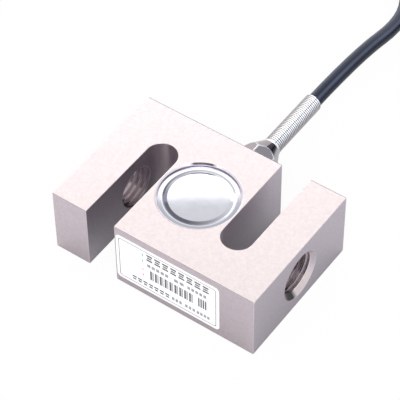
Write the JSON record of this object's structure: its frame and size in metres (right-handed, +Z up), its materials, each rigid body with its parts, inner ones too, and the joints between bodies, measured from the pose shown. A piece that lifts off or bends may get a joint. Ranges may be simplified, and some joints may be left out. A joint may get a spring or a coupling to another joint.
{
  "type": "s type load cell",
  "caption": "S-shaped steel load cell with a threaded hole in each arm, pressed covers over its gauge pockets, a cable gland with spring guard, and a coiled cable with bare leads.",
  "frame": {"origin": "middle of the lower S-shaped face of the block, on the surface it lies on", "axes": "+X along the load line through both threads, towards the arm next to the slot that opens in the cable wall; +Y from the label wall to the cable wall; +Z up through the block's thickness"},
  "size_m": [0.0983, 0.2478, 0.0254],
  "materials": {
    "plated_steel": "fine ground alloy steel with satin nickel plate",
    "cover_steel": "thin pressed stainless steel, finely brushed",
    "gauge_film": "amber polyimide backing with grey foil grid",
    "circuit_board": "green solder mask on glass fibre board",
    "chip_ceramic": "black chip resistors with tinned ends",
    "gland_nickel": "nickel plated brass, turned",
    "spring_steel": "bright spring wire",
    "label_film": "white polyester label, satin",
    "cable_jacket": "black PVC jacket, semi matt",
    "tie_nylon": "black nylon, fine moulded",
    "insulation_red": "PVC insulation",
    "insulation_black": "PVC insulation",
    "insulation_green": "PVC insulation",
    "insulation_white": "PVC insulation",
    "insulation_clear": "clear sleeve over tinned copper braid"
  },
  "bodies": {
    "root": {"s_beam": "plated_steel", "top_cover": "cover_steel", "bottom_cover": "cover_steel", "gauge_top_left": "gauge_film", "gauge_top_right": "gauge_film", "gauge_bottom_left": "gauge_film", "gauge_bottom_right": "gauge_film", "bridge_board": "circuit_board", "trim_resistors": "chip_ceramic", "gland_body": "gland_nickel", "spring_guard": "spring_steel", "name_label": "label_film", "cable_root": "cable_jacket", "cable": "cable_jacket", "cable_coil": "cable_jacket", "coil_tie": "tie_nylon", "cable_tail": "cable_jacket", "core_red": "insulation_red", "core_black": "insulation_black", "core_green": "insulation_green", "core_white": "insulation_white", "lead_green": "insulation_green", "lead_white": "insulation_white", "lead_shield": "insulation_clear", "lead_black": "insulation_black", "lead_red": "insulation_red"}
  },
  "joints": []
}
